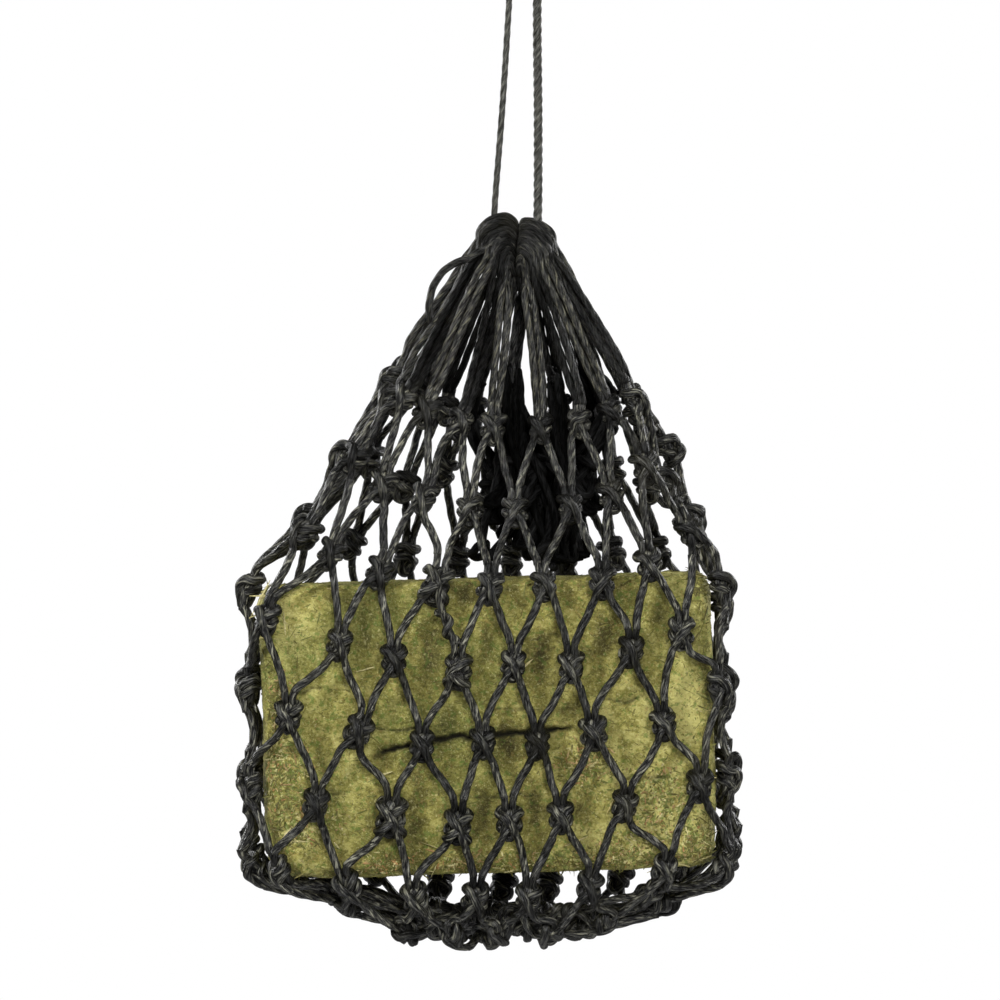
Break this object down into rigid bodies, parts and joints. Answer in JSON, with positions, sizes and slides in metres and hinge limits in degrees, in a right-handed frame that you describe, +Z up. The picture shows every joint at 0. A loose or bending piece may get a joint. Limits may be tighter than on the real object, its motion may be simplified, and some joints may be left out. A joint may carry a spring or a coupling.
{
  "type": "hay net",
  "caption": "Knotted cord hay net, its mouth loops gathered on a draw cord below a hanging eye, filled with a pressed block of hay.",
  "frame": {"origin": "centre of the hanging eye, where a hook takes the load", "axes": "+Z up, +Y along the hook through the eye, from the front of the net to its back, +X to the right seen from the front"},
  "size_m": [0.2594, 0.1132, 0.6447],
  "materials": {
    "twine": "matte twisted twine",
    "draw_cord": "matte twisted cord",
    "hay": "rough dry fibres"
  },
  "bodies": {
    "hanger": {"hanging_eye": "draw_cord"},
    "knot_upper": {"knot_upper_turn": "draw_cord"},
    "knot_lower": {"knot_lower_turn": "draw_cord", "cord_tails": "draw_cord"},
    "net": {"knots_row_1": "twine", "knots_row_2": "twine", "knots_row_3": "twine", "knots_row_4": "twine", "knots_row_5": "twine", "knots_row_6": "twine", "knots_row_7": "twine", "knots_row_8": "twine", "knots_row_9": "twine", "mesh_row_1": "twine", "mesh_row_2": "twine", "mesh_row_3": "twine", "mesh_row_4": "twine", "mesh_row_5": "twine", "mesh_row_6": "twine", "mesh_row_7": "twine", "mesh_row_8": "twine", "base_loops": "twine", "base_ring": "draw_cord", "base_ring_knot": "draw_cord", "hay_block": "hay", "spare_netting": "twine", "mouth_loops_left": "twine", "mouth_loops_right": "twine", "draw_cord_bend": "draw_cord"},
    "mouth_left": {"mouth_bunch_left": "twine"},
    "mouth_right": {"mouth_bunch_right": "twine"},
    "strand_left": {"draw_strand_left": "draw_cord"},
    "strand_right": {"draw_strand_right": "draw_cord"}
  },
  "joints": [
    {"name": "fore_aft_swing", "type": "hinge", "parent": "hanger", "child": "knot_upper", "pos_m": [0, 0, -0.0305], "axis": [1, 0, 0], "range_deg": [-20, 20]},
    {"name": "side_swing", "type": "hinge", "parent": "knot_upper", "child": "knot_lower", "pos_m": [0, 0, -0.0305], "axis": [0, 1, 0], "range_deg": [-15, 15]},
    {"name": "twist", "type": "hinge", "parent": "knot_lower", "child": "net", "pos_m": [0, 0, -0.0459], "axis": [0, 0, 1], "range_deg": [-90, 90]},
    {"name": "mouth_open_left", "type": "slide", "parent": "net", "child": "mouth_left", "axis": [-0.999, 0, -0.0443], "range_m": [0, 0.035], "deforming": ["mouth_loops_left"]},
    {"name": "mouth_open_right", "type": "slide", "parent": "net", "child": "mouth_right", "axis": [0.999, 0, 0.0443], "range_m": [0, 0.035], "deforming": ["mouth_loops_right"]},
    {"name": "strand_left_lean", "type": "hinge", "parent": "mouth_left", "child": "strand_left", "pos_m": [-0.00842, 0, -0.25492], "axis": [0, 1, 0], "range_deg": [0, 12]},
    {"name": "strand_right_lean", "type": "hinge", "parent": "mouth_right", "child": "strand_right", "pos_m": [0.01327, 0, -0.25646], "axis": [0, 1, 0], "range_deg": [-12, 0]}
  ],
  "couplings": [
    {"joint": "mouth_open_right", "follows": "mouth_open_left", "ratio": 1},
    {"joint": "strand_left_lean", "follows": "mouth_open_left", "rad_per_m": 4.979},
    {"joint": "strand_right_lean", "follows": "mouth_open_left", "rad_per_m": -4.937}
  ]
}
